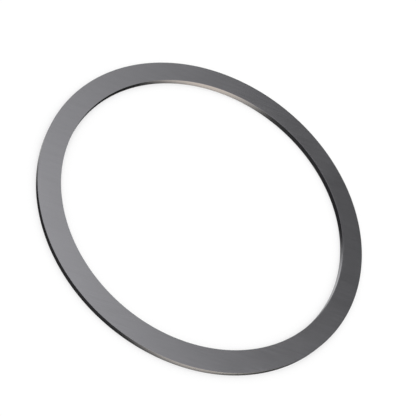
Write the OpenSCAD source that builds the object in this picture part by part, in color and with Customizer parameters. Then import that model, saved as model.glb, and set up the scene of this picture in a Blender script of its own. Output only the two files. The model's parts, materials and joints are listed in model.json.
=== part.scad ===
// Flat ring washer: a thin spacing ring with a wide plain bore and a narrow face.
// The ring lies on its lower face with the bore axis on +Z, and the origin is the centre of that face.
// All sizes are in millimetres.

/* [Ring] */
// Diameter of the bore
bore_d = 54; // [20:0.5:120]
// Width of the face from the bore to the rim, along a radius
face_w = 4; // [1.5:0.1:15]
// Thickness from the lower face to the upper face
thickness = 1.1; // [0.3:0.05:4]

/* [Edges] */
// Rounding left by deburring on both edges of the bore
bore_edge_r = 0.03; // [0.02:0.01:0.14]
// Rounding left by deburring on both edges of the rim
rim_edge_r = 0.03; // [0.02:0.01:0.14]

/* [Hidden] */
// Radius of the bore wall
bore_r = bore_d / 2;
// Radius of the rim wall
rim_r = bore_r + face_w;
// Colour of the bare steel
steel = [0.51, 0.51, 0.52];
// Segments in a full turn of the ring
ring_segments = 240;
// Segments in a full turn of a rounded edge
edge_segments = 48;

// Quarter disc that rounds an edge, with its corner at the origin and its arc towards +X and +Y
module edge_quarter(r) {
    intersection() {
        circle(r = r, $fn = edge_segments);
        square(r);
    }
}

// Edge of the section that faces +X from the origin: a straight wall between two rounded edges
module rounded_side(r) {
    translate([0, r])
        square([r, thickness - 2 * r]);
    translate([0, thickness - r])
        edge_quarter(r);
    translate([0, r])
        mirror([0, 1])
            edge_quarter(r);
}

// Section through the ring on one side of the axis, with its radius along +X and its height along +Y
module ring_section() {
    translate([bore_r + bore_edge_r, 0])
        square([face_w - bore_edge_r - rim_edge_r, thickness]);
    translate([bore_r + bore_edge_r, 0])
        mirror([1, 0])
            rounded_side(bore_edge_r);
    translate([rim_r - rim_edge_r, 0])
        rounded_side(rim_edge_r);
}

// The washer, turned from its section about the bore axis
module washer() {
    color(steel)
        rotate_extrude($fn = ring_segments)
            ring_section();
}

washer();
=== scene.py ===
"""The looks of a flat ring washer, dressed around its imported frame.

All sizes are metres in the frame's own axes: the ring lies on its lower face at z = 0, and the bore
axis is +Z. The ring's sizes come from the frame. Small sizes are given in millimetres times MM or in
micrometres times MICRON. The angles of the studio and the camera are in degrees.
"""

import json
import logging
import math
from dataclasses import dataclass
from enum import Enum

import bpy
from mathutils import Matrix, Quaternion, Vector

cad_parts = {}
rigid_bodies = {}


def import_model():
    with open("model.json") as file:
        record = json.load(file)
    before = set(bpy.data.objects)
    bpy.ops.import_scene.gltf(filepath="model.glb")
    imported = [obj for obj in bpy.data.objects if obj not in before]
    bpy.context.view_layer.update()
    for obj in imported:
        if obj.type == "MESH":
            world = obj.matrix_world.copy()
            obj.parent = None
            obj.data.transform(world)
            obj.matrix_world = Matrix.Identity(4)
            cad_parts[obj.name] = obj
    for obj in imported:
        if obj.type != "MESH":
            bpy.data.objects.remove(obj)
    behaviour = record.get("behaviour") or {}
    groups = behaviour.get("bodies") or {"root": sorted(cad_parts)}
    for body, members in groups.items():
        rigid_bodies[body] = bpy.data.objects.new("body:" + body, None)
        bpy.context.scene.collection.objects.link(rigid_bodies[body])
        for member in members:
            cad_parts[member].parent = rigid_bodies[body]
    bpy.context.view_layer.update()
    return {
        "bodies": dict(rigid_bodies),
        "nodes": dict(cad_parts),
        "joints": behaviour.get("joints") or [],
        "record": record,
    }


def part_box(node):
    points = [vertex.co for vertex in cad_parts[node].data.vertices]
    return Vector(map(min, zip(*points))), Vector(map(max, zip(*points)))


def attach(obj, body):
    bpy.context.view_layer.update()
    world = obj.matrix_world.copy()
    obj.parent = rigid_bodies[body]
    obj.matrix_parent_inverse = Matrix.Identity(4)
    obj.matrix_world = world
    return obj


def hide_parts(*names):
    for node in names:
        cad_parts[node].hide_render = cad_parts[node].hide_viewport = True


MM = 0.001
MICRON = 0.001 * MM
FULL_TURN = 2.0 * math.pi
NODE = "washer"
BODY = "root"
BAKE_MAP = "OFBake"
LOG = logging.getLogger(NODE)

NOISE_DETAIL = 3.0
NOISE_ROUGHNESS = 0.55
NOISE_MIDDLE = 0.5

Colour = tuple[float, float, float]
Triple = tuple[float, float, float]
SectionKey = tuple[int, int]
Socket = bpy.types.NodeSocket
Reading = bpy.types.NodeSocket | float
Inputs = dict[str | int, object]

WHITE: Colour = (1.0, 1.0, 1.0)


def even(size: float) -> Triple:
    """Gives one size along all three axes."""
    return (size, size, size)


class Wiring:
    """Adds nodes to one node tree and links them."""

    def __init__(self, tree: bpy.types.NodeTree) -> None:
        """Empties the tree and keeps it."""
        self.tree = tree
        tree.nodes.clear()

    def add(self, kind: str, inputs: Inputs | None = None, **options: object) -> bpy.types.Node:
        """Adds a node, sets its options and fills its inputs.

        Args:
            kind: the node's type name.
            inputs: input name or number to a value, or to a socket that it is linked from.
            options: the node's own settings, such as its operation.

        Returns:
            The new node.
        """
        node = self.tree.nodes.new(kind)
        for option, value in options.items():
            setattr(node, option, value)
        for name, value in (inputs or {}).items():
            if isinstance(value, bpy.types.NodeSocket):
                self.tree.links.new(value, node.inputs[name])
            else:
                node.inputs[name].default_value = value
        return node

    def maths(self, operation: str, first: Reading, second: Reading) -> Socket:
        """Adds a step of arithmetic on two numbers or sockets."""
        return self.add("ShaderNodeMath", {0: first, 1: second}, operation=operation).outputs[0]

    def vectors(self, operation: str, inputs: Inputs, output: str = "Vector") -> Socket:
        """Adds a step of arithmetic on vectors and gives the output of that name."""
        return self.add("ShaderNodeVectorMath", inputs, operation=operation).outputs[output]

    def fade(self, reading: Socket, start: float, end: float, before: float, after: float) -> Socket:
        """Adds a smooth step between two results, while the reading goes from start to end."""
        limits = {"Value": reading, "From Min": start, "From Max": end, "To Min": before, "To Max": after}
        return self.add("ShaderNodeMapRange", limits, interpolation_type="SMOOTHSTEP").outputs["Result"]

    def blend(self, share: Reading, first: Reading, second: Reading) -> Socket:
        """Adds a mix of two numbers, with the share of the second from 0 to 1."""
        return self.add("ShaderNodeMix", {"Factor": share, "A": first, "B": second}).outputs["Result"]

    def grey(self, level: Socket) -> Socket:
        """Makes a grey of one level, as a vector."""
        return self.add("ShaderNodeCombineXYZ", {"X": level, "Y": level, "Z": level}).outputs["Vector"]

    def layer(self, share: Socket, under: Socket | Colour, over: Socket | Colour) -> Socket:
        """Lays one colour over another, as vectors, with the share that it covers from 0 to 1."""
        inputs = {"Factor": share, "A": under, "B": over}
        return self.add("ShaderNodeMix", inputs, data_type="VECTOR").outputs["Result"]

    def noise(self, place: Socket, size: Triple, turn: float = 0.0) -> Socket:
        """Adds a noise pattern that is stretched along its own axes.

        Args:
            place: the socket that gives the place on the piece.
            size: the length of one wave along the pattern's X, Y and Z.
            turn: the angle that the pattern is turned by about +Z.

        Returns:
            The pattern's socket, from 0 to 1.
        """
        turned = {"Vector": place, "Rotation": (0.0, 0.0, turn), "Scale": size}
        own_place = self.add("ShaderNodeMapping", turned, vector_type="TEXTURE").outputs["Vector"]
        waves = {"Vector": own_place, "Scale": 1.0, "Detail": NOISE_DETAIL, "Roughness": NOISE_ROUGHNESS}
        return self.add("ShaderNodeTexNoise", waves).outputs["Fac"]


class Surface(Enum):
    """The kinds of surface on the ring."""

    FACE = "flat face"
    BORE_WALL = "bore wall"
    RIM_WALL = "rim wall"
    EDGE = "rounded edge"


@dataclass(frozen=True)
class TornBand:
    """The part of a punched wall that tore off: duller than the sheared part, with a fine tooth.

    The band fades in with the height on the wall, from none at start to all at end.
    """

    start: float
    end: float
    wave_size: float = 1.4 * MM
    wave_height: float = 0.22 * MM
    tooth_size: float = 0.07 * MM
    tooth_depth: float = 3.0 * MICRON
    dulling: float = 0.04

    def share(self, wiring: Wiring, place: Socket) -> Socket:
        """Adds the band to a material.

        Args:
            wiring: the material's nodes.
            place: the socket that gives the place on the piece.

        Returns:
            How much of the surface is torn, from 0 to 1.
        """
        height = wiring.add("ShaderNodeSeparateXYZ", {"Vector": place}).outputs["Z"]
        waves = wiring.maths("SUBTRACT", wiring.noise(place, even(self.wave_size)), NOISE_MIDDLE)
        ragged = wiring.maths("ADD", height, wiring.maths("MULTIPLY", waves, self.wave_height))
        return wiring.fade(ragged, self.start, self.end, 0.0, 1.0)

    def tooth(self, wiring: Wiring, place: Socket) -> Socket:
        """Adds the fine tooth of the torn steel, as heights."""
        return wiring.maths("MULTIPLY", wiring.noise(place, even(self.tooth_size)), self.tooth_depth)


@dataclass(frozen=True)
class SteelFinish:
    """The bare steel on one kind of surface of the ring."""

    name: str
    # The lines that its making left, and the noise levels between which they show
    line_size: Triple
    turn: float = 0.0
    line_depth: float = 1.0 * MICRON
    grain_low: float = 0.3
    grain_high: float = 0.7
    # The colour and the gloss
    base: Colour = (0.2215, 0.2205, 0.2325)
    colour_spread: float = 0.055
    roughness: float = 0.24
    roughness_spread: float = 0.03
    cloud_size: float = 7.0 * MM
    cloud_share: float = 0.4
    # Stray scratches, and the noise levels between which they deepen
    scratch_turns: tuple[float, ...] = ()
    scratch_size: Triple = (9.0 * MM, 0.07 * MM, 0.07 * MM)
    scratch_depth: float = 1.5 * MICRON
    scratch_start: float = 0.69
    scratch_full: float = 0.77
    # The torn part of a punched wall
    torn: TornBand | None = None

    def shade(self, change: float) -> tuple[float, float, float, float]:
        """Gives the steel's colour, made lighter or darker by a share."""
        red, green, blue = self.base
        return (red * (1.0 + change), green * (1.0 + change), blue * (1.0 + change), 1.0)

    def colour(self, wiring: Wiring, lines: Socket) -> Socket:
        """Adds the steel's colour, darker and lighter along its lines.

        Args:
            wiring: the material's nodes.
            lines: the socket that gives the lines.

        Returns:
            The colour's socket.
        """
        grain = wiring.fade(lines, self.grain_low, self.grain_high, 0.0, 1.0)
        dark = self.shade(-self.colour_spread)
        light = self.shade(self.colour_spread)
        shades = {"Factor": grain, "A": dark, "B": light}
        return wiring.add("ShaderNodeMix", shades, data_type="RGBA").outputs["Result"]

    def dullness(self, wiring: Wiring, place: Socket, lines: Socket) -> Socket:
        """Adds the steel's roughness, which follows its lines and wide soft clouds.

        Args:
            wiring: the material's nodes.
            place: the socket that gives the place on the piece.
            lines: the socket that gives the lines.

        Returns:
            The roughness socket.
        """
        clouds = wiring.noise(place, even(self.cloud_size))
        tone = wiring.blend(self.cloud_share, lines, clouds)
        least = self.roughness - self.roughness_spread
        most = self.roughness + self.roughness_spread
        return wiring.fade(tone, self.grain_low, self.grain_high, least, most)

    def relief(self, wiring: Wiring, place: Socket, lines: Socket) -> Socket:
        """Adds the heights of the steel's skin: its lines, cut by stray scratches.

        Args:
            wiring: the material's nodes.
            place: the socket that gives the place on the piece.
            lines: the socket that gives the lines.

        Returns:
            The height's socket.
        """
        height = wiring.maths("MULTIPLY", lines, self.line_depth)
        for turn in self.scratch_turns:
            streaks = wiring.noise(place, self.scratch_size, turn)
            mark = wiring.fade(streaks, self.scratch_start, self.scratch_full, 0.0, self.scratch_depth)
            height = wiring.maths("SUBTRACT", height, mark)
        return height

    def material(self) -> bpy.types.Material:
        """Makes the finish as a material on object coordinates.

        Returns:
            The material.
        """
        made = bpy.data.materials.new(self.name)
        made.use_nodes = True
        wiring = Wiring(made.node_tree)
        place = wiring.add("ShaderNodeTexCoord").outputs["Object"]
        lines = wiring.noise(place, self.line_size, self.turn)
        dull = self.dullness(wiring, place, lines)
        height = self.relief(wiring, place, lines)
        if self.torn:
            share = self.torn.share(wiring, place)
            height = wiring.blend(share, height, self.torn.tooth(wiring, place))
            dull = wiring.maths("ADD", dull, wiring.maths("MULTIPLY", share, self.torn.dulling))
        bump = wiring.add("ShaderNodeBump", {"Height": height, "Strength": 1.0, "Distance": 1.0})
        steel = {
            "Base Color": self.colour(wiring, lines),
            "Metallic": 1.0,
            "Roughness": dull,
            "Normal": bump.outputs["Normal"],
        }
        shader = wiring.add("ShaderNodeBsdfPrincipled", steel)
        wiring.add("ShaderNodeOutputMaterial", {"Surface": shader.outputs["BSDF"]})
        return made


@dataclass
class Washer:
    """The steel ring: its sizes, its mesh and the finish of its surfaces."""

    # The ring itself
    bore_radius: float
    rim_radius: float
    thickness: float
    edge_radius: float
    # Its mesh
    turn_steps: int = 720
    edge_steps: int = 6
    merge_distance: float = 1.0 * MICRON
    smooth_angle: float = math.radians(40.0)
    flat_weight: int = 100
    # How upright the normal is on a flat face at least, and on a wall at most
    flat_level: float = 0.999
    wall_level: float = 0.02
    # The strips of its bake map
    strips: int = 4
    strip_gap: float = 0.4 * MM
    # The marks of rolling, handling, punching and tumbling
    rolling_angle: float = math.radians(24.0)
    rolled_line: Triple = (6.0 * MM, 0.08 * MM, 0.08 * MM)
    rolled_depth: float = 2.0 * MICRON
    stray_angles: tuple[float, ...] = (math.radians(-41.0), math.radians(68.0), math.radians(131.0))
    sheared_line: Triple = (0.1 * MM, 0.1 * MM, 1.5 * MM)
    torn_fade: float = 0.08 * MM
    tumbled_grain: float = 0.05 * MM

    @classmethod
    def from_frame(cls, frame: dict) -> "Washer":
        """Reads the ring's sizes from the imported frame.

        Args:
            frame: what the frame's loader returned.

        Returns:
            The washer, with no mesh yet.
        """
        mounts = {mount["name"]: mount["dims"] for mount in frame["record"]["mounts"]}
        low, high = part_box(NODE)
        thickness = high.z - low.z
        return cls(
            bore_radius=mounts["bore"]["r_mm"] * MM,
            rim_radius=mounts["rim"]["r_mm"] * MM,
            thickness=thickness,
            edge_radius=(thickness - mounts["bore"]["length_mm"] * MM) / 2.0,
        )

    @property
    def middle_radius(self) -> float:
        """The radius half way across the face."""
        return (self.rim_radius + self.bore_radius) / 2.0

    def build(self) -> bpy.types.Object:
        """Models the ring: a rounded section, turned about the bore axis and smoothed.

        Returns:
            The ring's object.
        """
        ring = self.section()
        self.turn_section()
        self.smooth(ring)
        return ring

    def section(self) -> bpy.types.Object:
        """Draws the outline of the ring's section, with its corners rounded.

        Returns:
            The section's object, which becomes the ring.
        """
        bpy.ops.object.select_all(action="DESELECT")
        bpy.ops.mesh.primitive_plane_add(
            size=1.0,
            calc_uvs=False,
            location=(self.middle_radius, 0.0, self.thickness / 2.0),
            rotation=(math.pi / 2.0, 0.0, 0.0),
        )
        ring = bpy.context.object
        ring.name = "steel_ring"
        ring.scale = (self.rim_radius - self.bore_radius, self.thickness, 1.0)
        bpy.ops.object.transform_apply(location=True, rotation=True, scale=True)
        bpy.ops.object.mode_set(mode="EDIT")
        bpy.ops.mesh.select_all(action="SELECT")
        bpy.ops.mesh.bevel(
            affect="VERTICES", offset_type="OFFSET", offset=self.edge_radius, segments=self.edge_steps
        )
        bpy.ops.mesh.delete(type="ONLY_FACE")
        bpy.ops.object.mode_set(mode="OBJECT")
        return ring

    def turn_section(self) -> None:
        """Turns the section once round the bore axis and closes the ring."""
        bpy.ops.object.mode_set(mode="EDIT")
        bpy.ops.mesh.select_all(action="SELECT")
        bpy.ops.mesh.spin(
            steps=self.turn_steps, angle=FULL_TURN, center=(0.0, 0.0, 0.0), axis=(0.0, 0.0, 1.0)
        )
        bpy.ops.mesh.select_all(action="SELECT")
        bpy.ops.mesh.remove_doubles(threshold=self.merge_distance)
        bpy.ops.mesh.normals_make_consistent(inside=False)
        bpy.ops.object.mode_set(mode="OBJECT")

    def smooth(self, ring: bpy.types.Object) -> None:
        """Shades the ring smooth, and keeps its flat faces flat right up to the edges.

        Args:
            ring: the ring's object, which is the active one.
        """
        bpy.ops.object.shade_smooth_by_angle(angle=self.smooth_angle)
        flatten = ring.modifiers.new("even_faces", "WEIGHTED_NORMAL")
        flatten.mode = "FACE_AREA"
        flatten.weight = self.flat_weight
        flatten.keep_sharp = True
        bpy.ops.object.modifier_apply(modifier=flatten.name)

    def section_key(self, place: Vector) -> SectionKey:
        """Gives a vertex's radius and height in whole micrometres."""
        return (round(math.hypot(place.x, place.y) / MICRON), round(place.z / MICRON))

    def section_places(self, mesh: bpy.types.Mesh) -> tuple[dict[SectionKey, float], float]:
        """Measures the way round the ring's section.

        Args:
            mesh: the ring's mesh.

        Returns:
            The distance round the section by rounded radius and height, and the whole way round.
        """
        points = {self.section_key(vertex.co): vertex.co for vertex in mesh.vertices}
        places = {key: Vector((math.hypot(co.x, co.y), co.z)) for key, co in points.items()}
        centre = Vector((self.middle_radius, self.thickness / 2.0))
        spokes = {key: place - centre for key, place in places.items()}
        around = sorted(spokes, key=lambda key: math.atan2(spokes[key].y, spokes[key].x))
        distances = {}
        total = 0.0
        for key, following in zip(around, around[1:] + around[:1]):
            distances[key] = total
            total += (places[following] - places[key]).length
        return distances, total

    def unwrap(self, ring: bpy.types.Object) -> None:
        """Lays the ring's skin out in its bake map as straight strips, one above the other.

        Args:
            ring: the ring's object.
        """
        mesh = ring.data
        distances, girth = self.section_places(mesh)
        strip_turn = FULL_TURN / self.strips
        strip_height = girth + self.strip_gap
        side = max(strip_turn * self.middle_radius, self.strips * strip_height) + self.strip_gap
        margin = self.strip_gap / 2.0
        layout = mesh.uv_layers.new(name=BAKE_MAP)
        for polygon in mesh.polygons:
            middle_turn = math.atan2(polygon.center.y, polygon.center.x) % FULL_TURN
            strip = int(middle_turn / strip_turn)
            rises = [distances[self.section_key(mesh.vertices[index].co)] for index in polygon.vertices]
            crosses_start = max(rises) - min(rises) > girth / 2.0
            for loop, index, rise in zip(polygon.loop_indices, polygon.vertices, rises):
                place = mesh.vertices[index].co
                past = math.remainder(math.atan2(place.y, place.x) - middle_turn, FULL_TURN)
                along = (middle_turn + past - strip * strip_turn) * self.middle_radius
                if crosses_start and rise < girth / 2.0:
                    rise += girth
                across = strip * strip_height + rise
                layout.data[loop].uv = ((along + margin) / side, (across + margin) / side)

    def surface(self, polygon: bpy.types.MeshPolygon) -> Surface:
        """Tells which kind of surface a face of the mesh lies on.

        Args:
            polygon: the face of the mesh.

        Returns:
            Its kind of surface.
        """
        level = abs(polygon.normal.z)
        if level > self.flat_level:
            return Surface.FACE
        if level > self.wall_level:
            return Surface.EDGE
        inside = math.hypot(polygon.center.x, polygon.center.y) < self.middle_radius
        return Surface.BORE_WALL if inside else Surface.RIM_WALL

    def finishes(self) -> dict[Surface, SteelFinish]:
        """Chooses the steel's finish for each kind of surface.

        Returns:
            The finish by kind of surface.
        """
        half = self.thickness / 2.0
        torn_below = TornBand(start=half, end=half - self.torn_fade)
        torn_above = TornBand(start=half, end=half + self.torn_fade)
        return {
            Surface.FACE: SteelFinish(
                "rolled_face",
                self.rolled_line,
                turn=self.rolling_angle,
                line_depth=self.rolled_depth,
                scratch_turns=self.stray_angles,
            ),
            Surface.BORE_WALL: SteelFinish("punched_bore", self.sheared_line, torn=torn_below),
            Surface.RIM_WALL: SteelFinish("blanked_rim", self.sheared_line, torn=torn_above),
            Surface.EDGE: SteelFinish("tumbled_edge", even(self.tumbled_grain)),
        }

    def dress(self, ring: bpy.types.Object) -> None:
        """Gives each face of the ring the finish of its kind of surface.

        Args:
            ring: the ring's object.
        """
        slots = {}
        for surface, finish in self.finishes().items():
            slots[surface] = len(ring.data.materials)
            ring.data.materials.append(finish.material())
        for polygon in ring.data.polygons:
            polygon.material_index = slots[self.surface(polygon)]


@dataclass(frozen=True)
class SoftPatch:
    """A round patch of the studio with a soft edge, far away in one direction.

    The core is the angle from its middle to where it starts to fade, and the feather is the angle over
    which it fades to nothing. On that way its colour turns into the skirt's.
    """

    azimuth: float
    elevation: float
    core: float
    feather: float
    strength: float
    colour: Colour = WHITE
    skirt: Colour = WHITE

    def axis(self) -> Triple:
        """Works out where the patch is, with azimuth 0 along +Y and 90 along +X.

        Returns:
            The unit vector towards the patch.
        """
        turn = math.radians(self.azimuth)
        rise = math.radians(self.elevation)
        return (math.sin(turn) * math.cos(rise), math.cos(turn) * math.cos(rise), math.sin(rise))

    def share(self, wiring: Wiring, direction: Socket) -> Socket:
        """Adds how much of the patch shows to a world.

        Args:
            wiring: the world's nodes.
            direction: the socket that gives the direction looked in.

        Returns:
            The share, 1 in the core and 0 past the feather.
        """
        facing = wiring.vectors("DOT_PRODUCT", {0: direction, 1: self.axis()}, "Value")
        outer = math.cos(math.radians(self.core + self.feather))
        inner = math.cos(math.radians(self.core))
        return wiring.fade(facing, outer, inner, 0.0, 1.0)

    def level(self, wiring: Wiring, share: Socket) -> Socket:
        """Adds the patch's strength where a share of it shows."""
        return wiring.maths("MULTIPLY", share, self.strength)

    def glow(self, wiring: Wiring, direction: Socket) -> Socket:
        """Adds the patch's light to a world.

        Args:
            wiring: the world's nodes.
            direction: the socket that gives the direction looked in.

        Returns:
            The patch's light in that direction.
        """
        share = self.share(wiring, direction)
        tint = wiring.layer(share, self.skirt, self.colour)
        return wiring.vectors("SCALE", {0: tint, "Scale": self.level(wiring, share)})


@dataclass(frozen=True)
class SoftEdge:
    """A level line round the studio where one part fades into the next, between two elevations."""

    start: float
    end: float

    def share(self, wiring: Wiring, height: Socket) -> Socket:
        """Adds the fade to a world.

        Args:
            wiring: the world's nodes.
            height: the socket that gives the height of the direction looked in.

        Returns:
            The share of the next part, 0 at the start and 1 at the end.
        """
        start = math.sin(math.radians(self.start))
        end = math.sin(math.radians(self.end))
        return wiring.fade(height, start, end, 0.0, 1.0)


@dataclass(frozen=True)
class Studio:
    """The room round the washer: a white floor, a pale horizon and a soft sky with a dark panel."""

    # The floor, and the share of its white that is its own light
    floor_size: float = 12.0
    floor_gap: float = 5.0 * MICRON
    floor_colour: Colour = WHITE
    floor_glow: float = 0.5
    # Below the horizon: a ground that is darkest towards +Y, with two soft boxes
    ground_dark: float = 0.008
    ground_pale: float = 0.105
    warm_box: SoftPatch = SoftPatch(
        azimuth=121.8,
        elevation=-22.6,
        core=1.0,
        feather=47.4,
        strength=2.8,
        colour=(1.0, 0.88, 0.735),
        skirt=(1.0, 1.0, 0.95),
    )
    white_box: SoftPatch = SoftPatch(azimuth=-38.5, elevation=-20.0, core=1.0, feather=41.8, strength=2.11)
    # The horizon and the sky, from low to high
    horizon: Colour = WHITE
    horizon_edge: SoftEdge = SoftEdge(start=-25.0, end=-11.5)
    low_sky: float = 0.7
    low_sky_edge: SoftEdge = SoftEdge(start=11.5, end=21.0)
    high_sky: float = 1.65
    high_sky_edge: SoftEdge = SoftEdge(start=41.3, end=63.4)
    dark_panel: SoftPatch = SoftPatch(azimuth=16.4, elevation=45.0, core=2.0, feather=20.2, strength=0.77)

    def light(self) -> None:
        """Makes the world: a dark ground with soft boxes, a pale horizon, and a sky with a dark panel."""
        world = bpy.data.worlds.new("soft_studio")
        bpy.context.scene.world = world
        world.use_nodes = True
        wiring = Wiring(world.node_tree)
        direction = wiring.add("ShaderNodeTexCoord").outputs["Generated"]
        axes = wiring.add("ShaderNodeSeparateXYZ", {"Vector": direction}).outputs
        height = axes["Z"]
        ground = wiring.grey(wiring.fade(axes["Y"], 1.0, -1.0, self.ground_dark, self.ground_pale))
        for box in (self.warm_box, self.white_box):
            ground = wiring.vectors("ADD", {0: ground, 1: box.glow(wiring, direction)})
        open_sky = wiring.blend(self.high_sky_edge.share(wiring, height), self.low_sky, self.high_sky)
        shaded = self.dark_panel.level(wiring, self.dark_panel.share(wiring, direction))
        sky = wiring.grey(wiring.maths("MULTIPLY", open_sky, wiring.maths("SUBTRACT", 1.0, shaded)))
        low = wiring.layer(self.horizon_edge.share(wiring, height), ground, self.horizon)
        whole = wiring.layer(self.low_sky_edge.share(wiring, height), low, sky)
        glow = wiring.add("ShaderNodeBackground", {"Color": whole, "Strength": 1.0})
        wiring.add("ShaderNodeOutputWorld", {"Surface": glow.outputs["Background"]})

    def paint(self) -> bpy.types.Material:
        """Makes the floor's white, matt in part and lit from itself in part.

        Returns:
            The material.
        """
        made = bpy.data.materials.new("white_floor")
        made.use_nodes = True
        wiring = Wiring(made.node_tree)
        white = self.floor_colour + (1.0,)
        matt = wiring.add("ShaderNodeBsdfDiffuse", {"Color": white})
        glow = wiring.add("ShaderNodeEmission", {"Color": white, "Strength": 1.0})
        layers = {"Fac": self.floor_glow, 1: matt.outputs["BSDF"], 2: glow.outputs["Emission"]}
        table = wiring.add("ShaderNodeMixShader", layers)
        wiring.add("ShaderNodeOutputMaterial", {"Surface": table.outputs["Shader"]})
        return made

    def floor(self) -> bpy.types.Object:
        """Lays the floor just under the washer, out of sight of the steel's reflections.

        Returns:
            The floor's object.
        """
        bpy.ops.object.select_all(action="DESELECT")
        bpy.ops.mesh.primitive_plane_add(size=self.floor_size, location=(0.0, 0.0, -self.floor_gap))
        floor = bpy.context.object
        floor.name = "floor"
        floor.data.materials.append(self.paint())
        floor.visible_glossy = False
        return floor


@dataclass(frozen=True)
class Camera:
    """The camera at the photograph's place, looking down on the lying ring."""

    elevation: float = 51.113
    roll: float = 39.889
    distance_in_radii: float = 5.897
    nearest_in_radii: float = 0.1
    focal_px: float = 1035.1
    image_px: int = 416
    sensor: float = 36.0

    def place(self, target: Vector, radius: float) -> None:
        """Makes the camera and sets it as the scene's own.

        Args:
            target: the point that the camera aims at.
            radius: the ring's outer radius.
        """
        rise = math.radians(self.elevation)
        back = Vector((0.0, -math.cos(rise), math.sin(rise)))
        lens = bpy.data.cameras.new("camera")
        lens.sensor_width = self.sensor
        lens.lens = self.focal_px / self.image_px * self.sensor
        lens.clip_start = self.nearest_in_radii * radius
        camera = bpy.data.objects.new("camera", lens)
        bpy.context.scene.collection.objects.link(camera)
        camera.location = target + back * self.distance_in_radii * radius
        camera.rotation_mode = "QUATERNION"
        upright = (-back).to_track_quat("-Z", "Y")
        camera.rotation_quaternion = upright @ Quaternion((0.0, 0.0, 1.0), math.radians(self.roll))
        bpy.context.scene.camera = camera


def main() -> None:
    """Loads the frame, builds and dresses the washer, and sets the studio round it."""
    logging.basicConfig(level=logging.INFO)
    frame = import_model()
    bpy.context.scene.view_settings.view_transform = "Standard"

    washer = Washer.from_frame(frame)
    ring = washer.build()
    washer.unwrap(ring)
    washer.dress(ring)
    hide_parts(NODE)
    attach(ring, BODY)
    LOG.info("%s: %d faces", ring.name, len(ring.data.polygons))

    studio = Studio()
    studio.light()
    floor = studio.floor()
    LOG.info("%s: laid under the ring", floor.name)
    Camera().place(Vector((0.0, 0.0, washer.thickness / 2.0)), washer.rim_radius)


if __name__ == "__main__":
    main()
